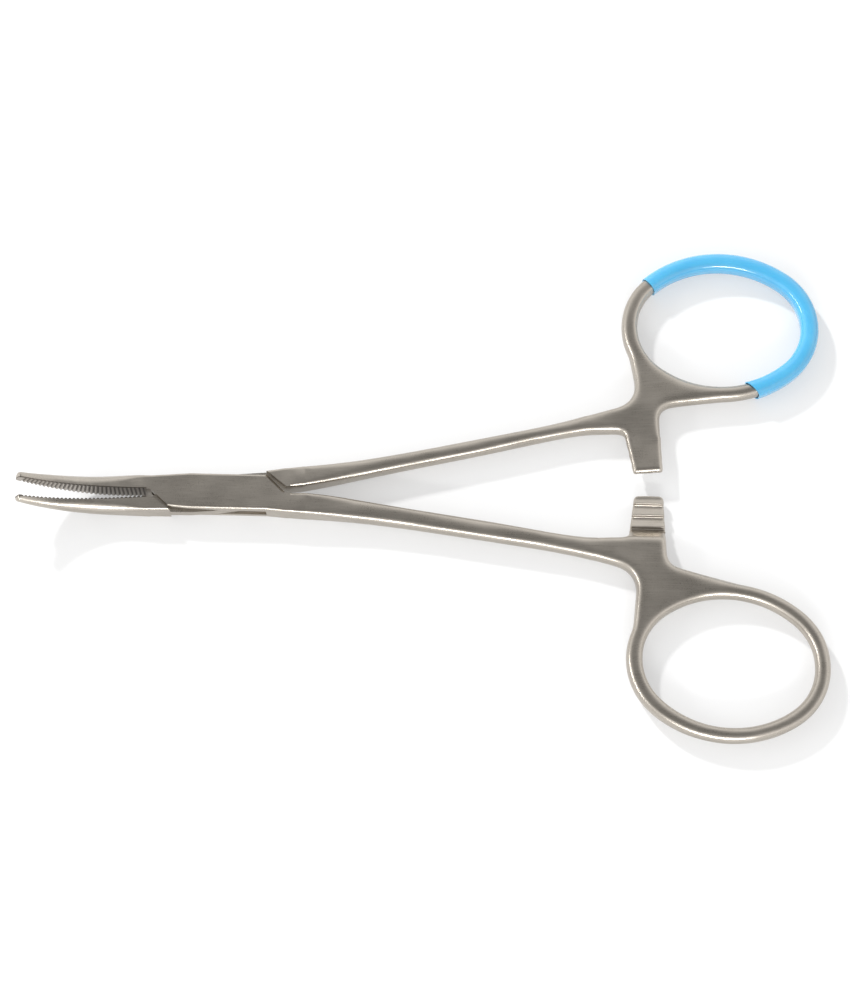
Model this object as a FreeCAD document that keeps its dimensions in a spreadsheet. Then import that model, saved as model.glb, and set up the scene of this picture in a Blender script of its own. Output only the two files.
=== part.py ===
# Curved artery forceps of the mosquito pattern, 12.5 cm, with a box lock, a ratchet and one
# dip coated finger ring.
# Lengths are millimetres. The axis of the lock pin is Z, the jaws point to -X and curve up, the
# rings lie to +X, and z = 0 is the flat underside of the box lock.
# Each half is drawn with the jaws shut and then turned about the pin to the half open rest.

import FreeCAD, Part
import math
import os
import re
import Sketcher
from FreeCAD import Placement, Rotation, Vector

SIZES = {
    # Box lock, seen from above
    "box_thick": 3.6,
    "box_width": 5.8,
    "box_edge": 0.45,
    "cheek_run": 4.5,
    "mouth_side": 7.5,
    "mouth_run": 3.0,
    "mouth_bevel": 0.4,
    "root_land": 0.7,
    "neck_flare": 0.25,
    # Tongue and the clearances of the lock
    "tongue_thick": 1.4,
    "tongue_play": 0.02,
    "shoulder_gap": 0.08,
    "web_gap": 0.12,
    "half_gap": 0.05,
    # Pin, ground flush
    "pin_radius": 1.15,
    "pin_play": 0.03,
    "pin_seat": 0.01,
    # Jaws: a straight start, then a bend; width and thickness at four places along the bend
    "jaw_root_width": 2.4,
    "jaw_straight": 3.3,
    "jaw_start_width": 2.3,
    "jaw_start_round": 1.1,
    "jaw_bend_radius": 28.0,
    "jaw_bend_angle": 35.2,
    "jaw_heel_width": 2.05,
    "jaw_heel_thick": 3.5,
    "jaw_middle_width": 1.72,
    "jaw_middle_thick": 2.95,
    "jaw_fore_width": 1.37,
    "jaw_fore_thick": 2.25,
    "jaw_tip_width": 0.95,
    "jaw_tip_thick": 1.45,
    "jaw_trim": 0.12,
    "jaw_roundness": 0.44,
    "jaw_round_limit": 0.8,
    "tip_round": 0.35,
    "tip_round_limit": 0.4,
    # Cross grooves; the last three are shares of the pitch
    "groove_pitch": 0.65,
    "groove_depth": 0.22,
    "groove_over": 0.02,
    "groove_first": 0.7,
    "groove_mouth": 0.9,
    "groove_spare": 0.9,
    # Shank: length of each stretch, then the outer edge and the width where it ends
    "handle_thick": 2.9,
    "handle_round": 0.7,
    "neck_run": 8.8,
    "neck_outer": 3.85,
    "neck_width": 3.4,
    "high_run": 9.0,
    "high_outer": 4.85,
    "high_width": 3.1,
    "waist_run": 9.0,
    "waist_outer": 6.05,
    "waist_width": 3.0,
    "low_run": 9.0,
    "low_outer": 7.3,
    "low_width": 2.85,
    "foot_run": 11.0,
    "foot_outer": 9.3,
    "foot_width": 3.4,
    "tongue_trim": 0.1,
    "tongue_slim": 0.5,
    "neck_round": 0.6,
    # Finger rings: the band and its hole, then where each ring sits from the end of its shank
    "ring_band": 2.5,
    "ring_end_radius": 9.85,
    "hole_long": 26.2,
    "hole_short": 20.3,
    "plain_ring_run": 20.75,
    "plain_ring_rise": 16.1,
    "plain_ring_tilt": 3.5,
    "dipped_ring_run": 22.65,
    "dipped_ring_rise": 13.65,
    "dipped_ring_tilt": -2.5,
    # Web at the foot of each shank, its corners set in from the edge of the ring by the two sinks
    "web_start_angle": 196.0,
    "web_start_sink": 0.25,
    "web_end_angle": 278.0,
    "web_end_sink": 0.12,
    "plain_throat_set": 1.95,
    "dipped_throat_set": 1.55,
    "foot_land": 0.4,
    "throat_rise": 1.8,
    "outer_throat": 4.0,
    "inner_throat": 1.1,
    "arm_throat": 2.2,
    # Ratchet arms
    "arm_width": 4.6,
    "arm_setback": 6.6,
    "arm_rear_set": 0.4,
    "arm_rear_rise": 0.7,
    "arm_front_set": 0.9,
    "arm_front_drop": 0.15,
    "plain_arm_reach": 1.5,
    "dipped_arm_reach": 1.1,
    "plain_arm_corner": 0.8,
    "dipped_arm_corner": 0.25,
    "arm_gap": 0.12,
    "tooth_height": 0.62,
    "tooth_pitch": 1.92,
    "tooth_first": 1.45,
    "tooth_land": 0.65,
    "tooth_land_share": 0.5,
    "tooth_drop": 0.12,
    "tooth_run_out": 2.2,
    "tooth_over": 1.2,
    # Dip coating
    "coat_thick": 0.2,
    "coat_seat": 0.01,
    "dip_angle": 52.4,
    "dip_depth": 3.5,
    # Angle that each half is opened by at rest
    "half_opening": 2.55,
    # How far a cut runs past the surface that it opens
    "cut_over": 1.0,
}
TOOTH_COUNT = 3
# Angles round the ring of the corners of the web that lie hidden inside the band
BAND_ANGLES = (189, 205, 222, 242, 265, 286)
# How close two levels, and two places in plan, count as the same
SLACK = 0.02
PLAN_SLACK = 0.05

doc = FreeCAD.newDocument("artery_forceps")
sheet = doc.addObject("Spreadsheet::Sheet", "Sizes")
for row, (size_name, size) in enumerate(SIZES.items(), start=1):
    sheet.set(f"A{row}", size_name)
    sheet.set(f"B{row}", str(size))
    sheet.setAlias(f"B{row}", size_name)
doc.recompute()


def sized(text):
    """Expression text in which every size name points at its cell."""
    def cell(word):
        found = word.group()
        return f"Sizes.{found}" if found in SIZES else found

    return re.sub(r"[a-z_]+", cell, text)


def number(text):
    """Present value of an expression written with size names."""
    value = sheet.evalExpression(sized(text))
    return float(getattr(value, "Value", value))


def bind(item, path, text):
    item.setExpression(path, sized(text))


def body_named(name):
    return doc.addObject("PartDesign::Body", name)


def sketch_on(body, name, plane, lift="0", rise="0", tilt="0"):
    """Sketch on an origin plane, moved off it by lift, up by rise and tipped about its own x."""
    sketch = body.newObject("Sketcher::SketchObject", name)
    support = next(face for face in body.Origin.OriginFeatures if face.Role == plane)
    sketch.AttachmentSupport = [(support, "")]
    sketch.MapMode = "FlatFace"
    sketch.AttachmentOffset = Placement(
        Vector(0, number(rise), number(lift)), Rotation(Vector(1, 0, 0), number(tilt))
    )
    bind(sketch, "AttachmentOffset.Base.z", lift)
    bind(sketch, "AttachmentOffset.Base.y", rise)
    if tilt != "0":
        bind(sketch, "AttachmentOffset.Rotation.Angle", tilt)
    return sketch


def hold(sketch, kind, places, text):
    """Constraint of one kind whose value is bound to an expression."""
    index = sketch.addConstraint(Sketcher.Constraint(kind, *places, number(text)))
    bind(sketch, f"Constraints[{index}]", text)


def outline(sketch, corners):
    """Closed run of straight edges; each corner is a pair of expressions."""
    spots = [Vector(number(across), number(along), 0) for across, along in corners]
    count = len(corners)
    for index in range(count):
        sketch.addGeometry(Part.LineSegment(spots[index], spots[(index + 1) % count]))
    for index, (across, along) in enumerate(corners):
        sketch.addConstraint(Sketcher.Constraint("Coincident", index, 2, (index + 1) % count, 1))
        hold(sketch, "DistanceX", (index, 1), across)
        hold(sketch, "DistanceY", (index, 1), along)


def rounded_section(sketch, left, right, half_height, radius, flat_left=False):
    """Rectangle centred on the sketch's x axis with round corners, or with sharp ones at the left."""
    west, east, north, bend = number(left), number(right), number(half_height), number(radius)
    near = 0 if flat_left else bend
    line = Part.LineSegment
    sketch.addGeometry(line(Vector(west + near, -north, 0), Vector(east - bend, -north, 0)))
    sketch.addGeometry(line(Vector(east, bend - north, 0), Vector(east, north - bend, 0)))
    sketch.addGeometry(line(Vector(east - bend, north, 0), Vector(west + near, north, 0)))
    sketch.addGeometry(line(Vector(west, north - near, 0), Vector(west, near - north, 0)))
    quarter = math.pi / 2
    corners = [(east - bend, bend - north, 3, 0, 1), (east - bend, north - bend, 0, 1, 2)]
    if not flat_left:
        corners += [(west + bend, north - bend, 1, 2, 3), (west + bend, bend - north, 2, 3, 0)]
    arcs = []
    for across, along, turn, before, after in corners:
        circle = Part.Circle(Vector(across, along, 0), Vector(0, 0, 1), bend)
        arc = sketch.addGeometry(Part.ArcOfCircle(circle, turn * quarter, (turn + 1) * quarter))
        sketch.addConstraint(Sketcher.Constraint("Tangent", before, 2, arc, 1))
        sketch.addConstraint(Sketcher.Constraint("Tangent", arc, 2, after, 1))
        arcs.append(arc)
    if flat_left:
        sketch.addConstraint(Sketcher.Constraint("Coincident", 2, 2, 3, 1))
        sketch.addConstraint(Sketcher.Constraint("Coincident", 3, 2, 0, 1))
    for arc in arcs[1:]:
        sketch.addConstraint(Sketcher.Constraint("Equal", arcs[0], arc))
    for edge, kind in ((0, "Horizontal"), (1, "Vertical"), (2, "Horizontal"), (3, "Vertical")):
        sketch.addConstraint(Sketcher.Constraint(kind, edge))
    hold(sketch, "Radius", (arcs[0],), radius)
    hold(sketch, "DistanceX", (3, 1), left)
    hold(sketch, "DistanceX", (1, 1), right)
    hold(sketch, "DistanceY", (0, 1), f"-({half_height})")
    hold(sketch, "DistanceY", (2, 1), half_height)


def pad(body, sketch, name, length, both_ways=False):
    feature = body.newObject("PartDesign::Pad", name)
    feature.Profile = sketch
    feature.SideType = "Symmetric" if both_ways else "One side"
    bind(feature, "Length", length)
    body.Tip = feature
    doc.recompute()
    return feature


def pocket(body, sketch, name, length):
    """Cut to both sides of the sketch; length is the whole depth of the cut."""
    before = body.Tip.Shape.Volume
    feature = body.newObject("PartDesign::Pocket", name)
    feature.Profile = sketch
    feature.SideType = "Symmetric"
    bind(feature, "Length", length)
    body.Tip = feature
    doc.recompute()
    if feature.Shape.Volume >= before:
        raise RuntimeError(f"{name} cuts nothing")
    return feature


def loft(body, sketches, name):
    feature = body.newObject("PartDesign::AdditiveLoft", name)
    feature.Profile = sketches[0]
    feature.Sections = sketches[1:]
    body.Tip = feature
    doc.recompute()
    return feature


def dress(body, kind, name, size_path, size_text, wanted):
    """Fillet or chamfer on the edges of the tip for which wanted(edge) is true."""
    base = body.Tip
    names = [f"Edge{index}" for index, edge in enumerate(base.Shape.Edges, start=1) if wanted(edge)]
    if not names:
        raise RuntimeError(f"{name} finds no edge")
    feature = body.newObject(f"PartDesign::{kind}", name)
    feature.Base = (base, names)
    bind(feature, size_path, size_text)
    body.Tip = feature
    doc.recompute()
    return feature


def axis_of(body, role):
    return next(axis for axis in body.Origin.OriginFeatures if axis.Role == role)


def upright(edge):
    return len(edge.Vertexes) == 2 and abs(edge.tangentAt(edge.FirstParameter).z) > 0.99


def near(one, other):
    return abs(one - other) < SLACK


def ends_near(edge, spot):
    """True if the upright edge stands on the plan point spot."""
    middle = edge.CenterOfMass
    return upright(edge) and (middle - Vector(spot[0], spot[1], middle.z)).Length < PLAN_SLACK


# Places that several pieces share, as expressions
MID = "(box_thick / 2)"
HALF_WIDTH = "(box_width / 2)"
MOUTH_TIP = "(mouth_side + mouth_run)"
LOCK_END = "(mouth_side + mouth_run + root_land)"
ROOT_OUTER = "(box_width / 2 + neck_flare)"
CHEEK_DROP = f"(({HALF_WIDTH} - jaw_root_width) * (mouth_side - cheek_run) / ({MOUTH_TIP} - cheek_run))"
CORNER = f"({HALF_WIDTH} - {CHEEK_DROP})"
SLOT = "(tongue_thick + 2 * tongue_play)"
STATIONS = ("neck", "high", "waist", "low", "foot")
FOOT_X = f"({LOCK_END} + neck_run + high_run + waist_run + low_run + foot_run)"
BEND_START = f"({LOCK_END} + jaw_straight)"
JAW_TIP_X = f"({BEND_START} + jaw_bend_radius * sin(jaw_bend_angle))"
JAW_TIP_Z = f"({MID} + jaw_bend_radius * (1 - cos(jaw_bend_angle)))"
JAW_STATIONS = ("heel", "middle", "fore", "tip")
RING_LONG = "((hole_long + ring_band) / 2)"
RING_SHORT = "((hole_short + ring_band) / 2)"
END_RADIUS = "ring_end_radius"
END_OFFSET = f"({RING_LONG} - {END_RADIUS})"
FLANK_RADIUS = (
    f"(({RING_SHORT}^2 + {END_OFFSET}^2 - {END_RADIUS}^2) / (2 * ({RING_SHORT} - {END_RADIUS})))"
)
RING_JOINT = f"atan2({FLANK_RADIUS} - {RING_SHORT}; {END_OFFSET})"


def lock_of_box(side):
    """Solid box with its slot. Its own shank leaves at side, its jaw at the other side."""
    body = body_named("box_half_lock")
    shape = sketch_on(body, "box_plan", "XY_Plane")
    plan = [
        (f"-{LOCK_END}", "-half_gap"),
        (f"-{MOUTH_TIP}", "-half_gap"),
        ("-mouth_side", CORNER),
        ("-cheek_run", HALF_WIDTH),
        ("mouth_side", HALF_WIDTH),
        (MOUTH_TIP, ROOT_OUTER),
        (LOCK_END, ROOT_OUTER),
        (LOCK_END, "half_gap"),
        (MOUTH_TIP, "half_gap"),
        ("mouth_side", f"-{HALF_WIDTH}"),
        ("-cheek_run", f"-{HALF_WIDTH}"),
        (f"-{MOUTH_TIP}", "-jaw_root_width"),
        (f"-{LOCK_END}", "-jaw_root_width"),
    ]
    outline(shape, [(across, f"{side} * ({along})") for across, along in plan])
    pad(body, shape, "box_block", "box_thick")
    top = number("box_thick")
    inner_limit = number("jaw_root_width") - SLACK

    def flat_rim(edge):
        level = edge.CenterOfMass.z
        return not upright(edge) and (near(level, 0) or near(level, top))

    def outer_rim(edge):
        middle = edge.CenterOfMass
        return flat_rim(edge) and abs(middle.y) > inner_limit and abs(edge.tangentAt(0).x) > 0.9

    def rear_mouth(edge):
        line = edge.tangentAt(0)
        return flat_rim(edge) and edge.CenterOfMass.x > 0 and min(abs(line.x), abs(line.y)) > 0.3

    dress(body, "Chamfer", "box_mouth_bevels", "Size", "mouth_bevel", rear_mouth)
    dress(body, "Fillet", "box_outer_edges", "Radius", "box_edge", outer_rim)

    slot = sketch_on(body, "slot_plan", "XY_Plane", lift=MID)
    slope = f"(mouth_run / ({HALF_WIDTH} - half_gap))"
    plan = [
        (f"-{MOUTH_TIP}", f"{HALF_WIDTH} + cut_over"),
        (f"mouth_side - {slope} * cut_over", f"{HALF_WIDTH} + cut_over"),
        (MOUTH_TIP, "half_gap"),
        (MOUTH_TIP, f"-{HALF_WIDTH} - cut_over"),
        (f"{slope} * cut_over - mouth_side", f"-{HALF_WIDTH} - cut_over"),
        (f"-{MOUTH_TIP}", "-half_gap"),
    ]
    outline(slot, [(across, f"{side} * ({along})") for across, along in plan])
    pocket(body, slot, "tongue_slot", SLOT)
    pin_hole(body, "pin_seat")
    return body


def lock_of_tongue(side):
    """Tongue between two full roots. Its own shank leaves at side, its jaw at the other side."""
    body = body_named("tongue_half_lock")
    tongue = sketch_on(body, "tongue_plan", "XY_Plane", lift=MID)
    plan = [
        (f"-{LOCK_END}", "-jaw_root_width"),
        (f"-{MOUTH_TIP}", "-jaw_root_width"),
        ("-cheek_run", f"-{HALF_WIDTH}"),
        ("mouth_side - web_gap", f"-{HALF_WIDTH}"),
        (f"{MOUTH_TIP} - web_gap", "half_gap"),
        (LOCK_END, "half_gap"),
        (LOCK_END, ROOT_OUTER),
        (MOUTH_TIP, ROOT_OUTER),
        ("mouth_side", HALF_WIDTH),
        ("-cheek_run", HALF_WIDTH),
        ("web_gap - mouth_side", CORNER),
        (f"web_gap - {MOUTH_TIP}", "-half_gap"),
        (f"-{LOCK_END}", "-half_gap"),
    ]
    outline(tongue, [(across, f"{side} * ({along})") for across, along in plan])
    pad(body, tongue, "tongue", "tongue_thick", both_ways=True)

    roots = (
        ("jaw_root", "-1", CORNER, "jaw_root_width"),
        ("shank_root", "1", HALF_WIDTH, ROOT_OUTER),
    )
    top = number("box_thick")
    for name, end, near_outer, far_outer in roots:
        shape = sketch_on(body, f"{name}_plan", "XY_Plane")
        plan = [
            (LOCK_END, "half_gap"),
            (f"{MOUTH_TIP} + shoulder_gap", "half_gap"),
            ("mouth_side + shoulder_gap", near_outer),
            (MOUTH_TIP, far_outer),
            (LOCK_END, far_outer),
        ]
        outline(shape, [(f"{end} * ({across})", f"{side} * {end} * ({along})") for across, along in plan])
        pad(body, shape, name, "box_thick")
    inner_limit = number("jaw_root_width") - SLACK

    def root_rim(edge):
        middle = edge.CenterOfMass
        outer = abs(middle.y) > inner_limit and abs(edge.tangentAt(0).x) > 0.9
        return outer and (near(middle.z, 0) or near(middle.z, top))

    dress(body, "Fillet", "root_outer_edges", "Radius", "box_edge", root_rim)
    pin_hole(body, "pin_play")
    return body


def pin_hole(body, gap):
    sketch = sketch_on(body, "pin_hole_plan", "XY_Plane", lift=MID)
    sketch.addGeometry(Part.Circle(Vector(0, 0, 0), Vector(0, 0, 1), number(f"pin_radius + {gap}")))
    sketch.addConstraint(Sketcher.Constraint("Coincident", 0, 3, -1, 1))
    hold(sketch, "Radius", (0,), f"pin_radius + {gap}")
    pocket(body, sketch, "pin_hole", "2 * box_thick")


def jaw(name, groove_shift):
    """Jaw on the +Y side: straight, then bent upward, its flat gripping face cross grooved."""
    body = body_named(f"{name}_jaw")
    trim = "+ jaw_trim" if name == "plain" else "- jaw_trim"
    places = [
        (LOCK_END, "0", "(jaw_root_width - half_gap)", "box_thick", "box_edge"),
        (BEND_START, "0", f"(jaw_start_width {trim})", "box_thick", "jaw_start_round"),
    ]
    for step, station in enumerate(JAW_STATIONS, start=1):
        turn = f"(jaw_bend_angle * {step / len(JAW_STATIONS)})"
        width, thick = f"(jaw_{station}_width {trim})", f"jaw_{station}_thick"
        bend = f"min(jaw_roundness * {thick}; jaw_round_limit * {width})"
        places.append((BEND_START, turn, width, thick, bend))
    sections = []
    for index, (start, turn, width, thick, bend) in enumerate(places):
        section = sketch_on(
            body,
            f"{name}_jaw_section_{index}",
            "YZ_Plane",
            lift=f"-({start} + jaw_bend_radius * sin({turn}))",
            rise=f"{MID} + jaw_bend_radius * (1 - cos({turn}))",
            tilt=turn,
        )
        rounded_section(section, "half_gap", f"half_gap + {width}", f"{thick} / 2", bend, flat_left=True)
        sections.append(section)
    loft(body, sections, f"{name}_jaw_blank")

    tip = Vector(-number(JAW_TIP_X), 0, number(JAW_TIP_Z))
    facing = Rotation(Vector(0, 1, 0), number("jaw_bend_angle")).multVec(Vector(1, 0, 0))
    grip = number("half_gap")

    def tip_rim(edge):
        on_tip = all(near((point.Point - tip).dot(facing), 0) for point in edge.Vertexes)
        return on_tip and edge.CenterOfMass.y > grip + SLACK

    rounding = "min(tip_round; tip_round_limit * jaw_tip_width)"
    dress(body, "Fillet", f"{name}_tip_rounding", "Radius", rounding, tip_rim)

    first = f"({LOCK_END} + groove_pitch * (groove_first + {groove_shift}))"
    straight = groove(body, f"{name}_straight_groove", first)
    run = body.newObject("PartDesign::LinearPattern", f"{name}_straight_grooves")
    run.Originals = [straight]
    run.Direction = (axis_of(body, "X_Axis"), [""])
    run.Reversed = True
    bind(run, "Occurrences", "floor(jaw_straight / groove_pitch)")
    bind(run, "Length", "(floor(jaw_straight / groove_pitch) - 1) * groove_pitch")
    body.Tip = run
    doc.recompute()

    last = f"({first} + floor(jaw_straight / groove_pitch) * groove_pitch)"
    bent = groove(body, f"{name}_bent_groove", last)
    axis = sketch_on(body, f"{name}_bend_axis", "XZ_Plane", rise=f"{MID} + jaw_bend_radius")
    bind(axis, "AttachmentOffset.Base.x", f"-{BEND_START}")
    doc.recompute()
    before = bent.Shape.Volume
    rows = body.newObject("PartDesign::PolarPattern", f"{name}_bent_grooves")
    rows.Originals = [bent]
    rows.Axis = (axis, ["N_Axis"])
    rows.Reversed = True
    bent_count = "floor(jaw_bend_angle * pi / 180 * jaw_bend_radius / groove_pitch - groove_spare)"
    bind(rows, "Angle", f"({bent_count} - 1) * groove_pitch / jaw_bend_radius * 180 / pi")
    bind(rows, "Occurrences", bent_count)
    body.Tip = rows
    doc.recompute()
    if before - rows.Shape.Volume < 5 * number("groove_pitch * groove_depth"):
        raise RuntimeError(f"{name} grooves miss the jaw")
    return body


def groove(body, name, place):
    """One V groove across the gripping face, at a distance from the pin along the jaw."""
    sketch = sketch_on(body, f"{name}_plan", "XY_Plane", lift=MID)
    corners = [
        (f"-{place} - groove_pitch * groove_mouth / 2", "half_gap - groove_over"),
        (f"-{place} + groove_pitch * groove_mouth / 2", "half_gap - groove_over"),
        (f"-{place}", "half_gap + groove_depth"),
    ]
    outline(sketch, corners)
    return pocket(body, sketch, name, "3 * box_thick")


def shank(body, name, side):
    """Long tapered shank, lofted from the lock to the foot through rounded sections."""
    run = LOCK_END
    outer = ROOT_OUTER
    width = f"({ROOT_OUTER} - half_gap)"
    places = [(run, outer, width, MID, "box_edge")]
    for station in STATIONS:
        run = f"{run} + {station}_run"
        bend = "neck_round" if station == "neck" else "handle_round"
        thick = "(box_thick + handle_thick) / 4" if station == "neck" else "handle_thick / 2"
        places.append((run, outer_of(name, station), width_of(name, station), thick, bend))
    sections = []
    for index, (run, outer, width, half, bend) in enumerate(places):
        section = sketch_on(body, f"{name}_shank_section_{index}", "YZ_Plane", lift=run, rise=MID)
        inner = f"({outer} - {width})"
        edges = (inner, outer) if side > 0 else (f"-({outer})", f"-{inner}")
        rounded_section(section, *edges, half, bend)
        sections.append(section)
    return loft(body, sections, f"{name}_shank")


def outer_of(name, station):
    """Outer edge of the shank at a station; the tongue half is trimmed."""
    return f"({station}_outer - tongue_trim)" if name == "dipped" else f"{station}_outer"


def width_of(name, station):
    return f"({station}_width - tongue_slim)" if name == "dipped" else f"{station}_width"


def on_ring(name, angle, grow):
    """Point on an ellipse like the ring's hole, grown outward from the edge of the hole by grow."""
    long, short = f"(hole_long / 2 + {grow})", f"(hole_short / 2 + {grow})"
    tilt = f"{name}_ring_tilt"
    across = f"{long} * cos({angle}) * cos({tilt}) - {short} * sin({angle}) * sin({tilt})"
    along = f"{long} * cos({angle}) * sin({tilt}) + {short} * sin({angle}) * cos({tilt})"
    return f"({ring_x(name)} + {across})", f"({ring_y(name)} + {along})"


def ring_x(name):
    return f"({FOOT_X} + {name}_ring_run)"


def ring_y(name):
    return f"(foot_outer + {name}_ring_rise)"


def root_plate(body, name, side):
    """Flat web where shank, ring and ratchet arm meet, with its throats rounded."""
    left = f"({FOOT_X} + arm_setback)"
    right = f"({left} + arm_width)"
    outer = outer_of(name, "foot")
    inner = f"({outer} - {width_of(name, 'foot')})"
    reach = f"-{name}_arm_reach"
    band_left = f"({ring_x(name)} - hole_long / 2 - ring_band)"
    throat = (f"{band_left} + {name}_throat_set", f"{outer} + throat_rise")
    plan = [
        (FOOT_X, outer),
        (f"{FOOT_X} + foot_land", outer),
        throat,
        on_ring(name, "web_start_angle", "ring_band - web_start_sink"),
        *[on_ring(name, angle, "ring_band / 2") for angle in BAND_ANGLES],
        on_ring(name, "web_end_angle", "ring_band - web_end_sink"),
        (f"{right} + arm_rear_set", f"{outer} + arm_rear_rise"),
        (right, reach),
        (left, reach),
        (f"{left} - arm_front_set", f"{inner} - arm_front_drop"),
        (f"{FOOT_X} + foot_land", inner),
        (FOOT_X, inner),
    ]
    sketch = sketch_on(body, f"{name}_root_plan", "XY_Plane", lift=MID)
    outline(sketch, [(across, f"{side} * ({along})") for across, along in plan])
    pad(body, sketch, f"{name}_root", "handle_thick", both_ways=True)
    throats = (
        ("outer_throat", "outer_throat", [2]),
        ("inner_throat", "inner_throat", [14]),
        ("arm_throat", "arm_throat", [11]),
        ("arm_corners", f"{name}_arm_corner", [12, 13]),
    )
    for throat_name, radius, marks in throats:
        spots = [(number(plan[mark][0]), side * number(plan[mark][1])) for mark in marks]
        dress(
            body, "Fillet", f"{name}_{throat_name}", "Radius", radius,
            lambda edge: any(ends_near(edge, spot) for spot in spots),
        )
    return plan


def ring_tube(name, side, label, grow):
    """Finger ring of four arcs, a four centre oval; grow adds to the band and the thickness.

    The two end arcs and the two side arcs meet tangent, so the band keeps its width all round.
    """
    body = body_named(label)
    half_band = f"(ring_band / 2 + {grow})"
    half_height, bend = f"(handle_thick / 2 + {grow})", f"handle_round + {grow}"
    arcs = (
        ("end", "XZ_Plane", RING_LONG, END_RADIUS, f"2 * {RING_JOINT}", "YZ_Plane"),
        ("flank", "YZ_Plane", RING_SHORT, FLANK_RADIUS, f"180 deg - 2 * {RING_JOINT}", "XZ_Plane"),
    )
    turned = []
    for arc, plane, reach, radius, angle, mirror in arcs:
        section = sketch_on(body, f"{label}_{arc}_section", plane)
        rounded_section(section, f"{reach} - {half_band}", f"{reach} + {half_band}", half_height, bend)
        centre = number(f"{reach} - {radius}")
        axis = section.addGeometry(Part.LineSegment(Vector(centre, 0, 0), Vector(centre, 1, 0)), True)
        section.addConstraint(Sketcher.Constraint("Vertical", axis))
        section.addConstraint(Sketcher.Constraint("PointOnObject", axis, 1, -1))
        hold(section, "DistanceX", (axis, 1), f"{reach} - {radius}")
        doc.recompute()
        feature = body.newObject("PartDesign::Revolution", f"{label}_{arc}")
        feature.Profile = section
        feature.ReferenceAxis = (section, ["Axis0"])
        feature.Midplane = True
        bind(feature, "Angle", angle)
        body.Tip = feature
        doc.recompute()
        turned.append((feature, mirror))
    for feature, mirror in turned:
        other = body.newObject("PartDesign::Mirrored", f"{feature.Label}_opposite")
        other.Originals = [feature]
        other.MirrorPlane = (axis_of(body, mirror), [""])
        body.Tip = other
        doc.recompute()
    tilt = f"{side} * {name}_ring_tilt"
    body.Placement = Placement(Vector(0, 0, 0), Rotation(Vector(0, 0, 1), number(tilt)))
    bind(body, "Placement.Base.x", ring_x(name))
    bind(body, "Placement.Base.y", f"{side} * {ring_y(name)}")
    bind(body, "Placement.Base.z", MID)
    bind(body, "Placement.Rotation.Angle", tilt)
    doc.recompute()
    return body


def ratchet(body, name, side, facing):
    """Cut the saw teeth across the arm. facing is 1 for teeth that look up, -1 for down."""
    tip = f"(-{name}_arm_reach)"
    crest = "(-arm_gap / 2)"
    root = "(-arm_gap / 2 - tooth_height)"
    top = "(handle_thick / 2)"
    land = f"{root} + tooth_land_share * tooth_height"
    profile = [
        (f"{tip} - cut_over", f"{top} + cut_over"),
        (f"{tip} - cut_over", land),
        (f"{tip} + tooth_land", land),
    ]
    for tooth in range(TOOTH_COUNT):
        edge = f"{tip} + tooth_first + {tooth} * tooth_pitch"
        profile.append((edge, crest))
        profile.append((f"{edge} + tooth_drop", root))
    last = f"{tip} + tooth_first + {TOOTH_COUNT - 1} * tooth_pitch + tooth_drop"
    profile.append((f"{last} + tooth_run_out", top))
    profile.append((f"{last} + tooth_run_out", f"{top} + cut_over"))
    sketch = sketch_on(
        body, f"{name}_teeth_profile", "YZ_Plane", lift=f"{FOOT_X} + arm_setback + arm_width / 2", rise=MID
    )
    outline(sketch, [(f"{side} * ({along})", f"{facing} * ({level})") for along, level in profile])
    return pocket(body, sketch, f"{name}_teeth", "arm_width + 2 * tooth_over")


def rim_of_root(body, name, plan, side):
    """Round the edges above and below the web, but not at the shank's end or inside the band."""
    low, high = number(f"{MID} - handle_thick / 2"), number(f"{MID} + handle_thick / 2")
    foot = number(FOOT_X)
    spots = [Vector(number(across), side * number(along), 0) for across, along in plan[4:10]]
    hidden = [(one + other) / 2 for one, other in zip(spots, spots[1:])]

    def rim(edge):
        middle = edge.CenterOfMass
        level = near(middle.z, low) or near(middle.z, high)
        flat = Vector(middle.x, middle.y, 0)
        inside = any((flat - spot).Length < PLAN_SLACK for spot in hidden)
        return not upright(edge) and level and not near(middle.x, foot) and not inside

    dress(body, "Fillet", f"{name}_root_edges", "Radius", "handle_round", rim)


def half(name, label, lock, side, facing):
    """One forging: lock part, jaw, shank, web, ring and ratchet arm."""
    handle = body_named(f"{label}_handle")
    plan = root_plate(handle, name, side)
    rim_of_root(handle, name, plan, side)
    shank(handle, name, side)
    ratchet(handle, name, side, facing)
    ring = ring_tube(name, side, f"{label}_ring", "0")
    grip = jaw(name, 0 if side < 0 else 0.5)
    if side > 0:
        mirrored = doc.addObject("Part::Mirroring", f"{label}_lower_jaw")
        mirrored.Source = grip
        mirrored.Normal = Vector(0, 1, 0)
        grip = mirrored
    front = fuse(f"{label}_front", lock, grip)
    rear = fuse(f"{label}_rear", handle, ring)
    whole = fuse(label, front, rear)
    whole.Placement = Placement(Vector(0, 0, 0), Rotation(Vector(0, 0, 1), side * number("half_opening")))
    bind(whole, "Placement.Rotation.Angle", f"{side} * half_opening")
    doc.recompute()
    return whole


def fuse(label, one, other):
    joined = doc.addObject("Part::Fuse", label)
    joined.Base = one
    joined.Tool = other
    joined.Refine = False
    joined.Label = label
    return joined


def pin():
    item = doc.addObject("Part::Cylinder", "pivot_pin")
    item.Label = "pivot_pin"
    bind(item, "Radius", "pin_radius")
    bind(item, "Height", "box_thick")
    return item


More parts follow.
